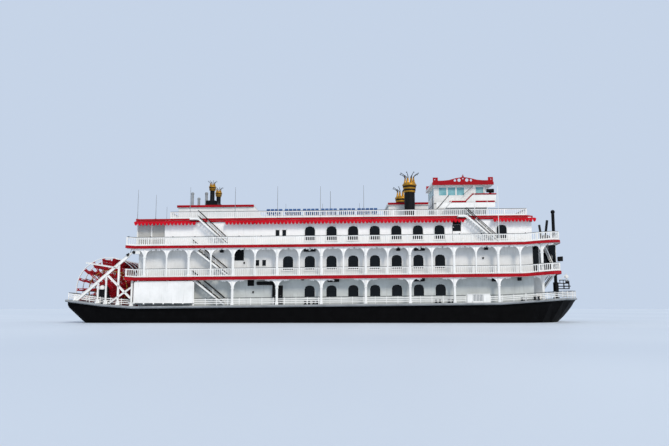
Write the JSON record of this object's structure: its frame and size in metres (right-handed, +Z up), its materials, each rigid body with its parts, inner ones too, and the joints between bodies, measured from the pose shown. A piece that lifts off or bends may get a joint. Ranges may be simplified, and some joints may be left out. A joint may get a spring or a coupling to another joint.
{
  "type": "paddle steamer, 1:2 scale model",
  "caption": "Stern-wheel river passenger steamer model: covered decks with arched galleries, roof houses, crowned chimneys, pilothouse and a turning paddle wheel.",
  "frame": {"origin": "centre of the box on the floor, under the flat hull bottom", "axes": "+X towards the bow, +Y to port, +Z up"},
  "size_m": [34.8, 9, 11.3755],
  "materials": {
    "hull_black": "satin black hull paint, worn at the waterline",
    "deck_grey": "matt grey deck paint",
    "red_paint": "satin red paint",
    "white_paint": "satin white paint",
    "wheel_red": "satin red paint",
    "bare_steel": "dull steel",
    "black_paint": "satin black paint",
    "gold_paint": "satin gold"
  },
  "bodies": {
    "vessel": {"hull": "hull_black", "main_deck": "deck_grey", "second_deck": "red_paint", "third_deck": "red_paint", "awning_starboard": "red_paint", "awning_port": "red_paint", "pilothouse_roof": "red_paint", "sun_deck": "white_paint", "main_house": "white_paint", "second_house": "white_paint", "third_house": "white_paint", "second_gallery_starboard": "white_paint", "second_gallery_port": "white_paint", "main_gallery_starboard": "white_paint", "main_gallery_port": "white_paint", "third_rail": "white_paint", "second_bow_rail": "white_paint", "sun_rail": "white_paint", "main_bow_rail": "white_paint", "stern_truss_starboard": "white_paint", "stern_truss_port": "white_paint", "aft_house": "white_paint", "forward_house": "white_paint", "pilothouse_base": "white_paint", "pilothouse": "white_paint", "balcony_rail": "white_paint", "pillow_block_starboard": "black_paint", "pillow_block_port": "black_paint", "chimney_starboard": "black_paint", "chimney_port": "black_paint", "funnel_starboard": "black_paint", "funnel_port": "black_paint", "funnel_base": "black_paint", "bow_mast": "black_paint", "bow_hoist": "black_paint", "searchlight_stand": "black_paint", "chimney_starboard_crown": "gold_paint", "chimney_port_crown": "gold_paint"},
    "paddle_wheel": {"wheel_shaft": "bare_steel", "wheel_frame_1": "wheel_red", "wheel_frame_2": "wheel_red", "wheel_frame_3": "wheel_red", "wheel_frame_4": "wheel_red", "wheel_frame_5": "wheel_red", "wheel_frame_6": "wheel_red", "wheel_boards": "wheel_red"},
    "rudder_starboard": {"rudder_starboard": "bare_steel"},
    "rudder_centre": {"rudder_centre": "bare_steel"},
    "rudder_port": {"rudder_port": "bare_steel"},
    "main_door_starboard": {"main_door_starboard": "white_paint"},
    "main_door_port": {"main_door_port": "white_paint"},
    "third_door_starboard": {"third_door_starboard": "white_paint"},
    "third_door_port": {"third_door_port": "white_paint"},
    "bow_boom": {"bow_boom": "black_paint"},
    "searchlight": {"searchlight": "black_paint"}
  },
  "joints": [
    {"name": "wheel_turn", "type": "hinge", "parent": "vessel", "child": "paddle_wheel", "pos_m": [-15.225, 0, 3.225], "axis": [0, 1, 0], "continuous": true},
    {"name": "rudder_centre_turn", "type": "hinge", "parent": "vessel", "child": "rudder_centre", "pos_m": [-12.55, 0, 0.3], "axis": [0, 0, 1], "range_deg": [-35, 35]},
    {"name": "rudder_starboard_turn", "type": "hinge", "parent": "vessel", "child": "rudder_starboard", "pos_m": [-12.55, -1.8, 0.3], "axis": [0, 0, 1], "range_deg": [-35, 35]},
    {"name": "rudder_port_turn", "type": "hinge", "parent": "vessel", "child": "rudder_port", "pos_m": [-12.55, 1.8, 0.3], "axis": [0, 0, 1], "range_deg": [-35, 35]},
    {"name": "main_door_starboard_swing", "type": "hinge", "parent": "vessel", "child": "main_door_starboard", "pos_m": [-3.8, -3.815, 2.8], "axis": [0, 0, -1], "range_deg": [0, 105]},
    {"name": "main_door_port_swing", "type": "hinge", "parent": "vessel", "child": "main_door_port", "pos_m": [-3.8, 3.815, 2.8], "axis": [0, 0, 1], "range_deg": [0, 105]},
    {"name": "third_door_starboard_swing", "type": "hinge", "parent": "vessel", "child": "third_door_starboard", "pos_m": [8.075, -3.815, 6.9], "axis": [0, 0, -1], "range_deg": [0, 105]},
    {"name": "third_door_port_swing", "type": "hinge", "parent": "vessel", "child": "third_door_port", "pos_m": [8.075, 3.815, 6.9], "axis": [0, 0, 1], "range_deg": [0, 105]},
    {"name": "bow_boom_slew", "type": "hinge", "parent": "vessel", "child": "bow_boom", "pos_m": [16.15, 0, 3.5], "axis": [0, 0, 1], "range_deg": [-75, 75]},
    {"name": "searchlight_pan", "type": "hinge", "parent": "vessel", "child": "searchlight", "pos_m": [11.225, -1.675, 10.1], "axis": [0, 0, 1], "range_deg": [-170, 170]}
  ],
  "couplings": [
    {"joint": "rudder_starboard_turn", "follows": "rudder_centre_turn", "ratio": 1},
    {"joint": "rudder_port_turn", "follows": "rudder_centre_turn", "ratio": 1}
  ]
}
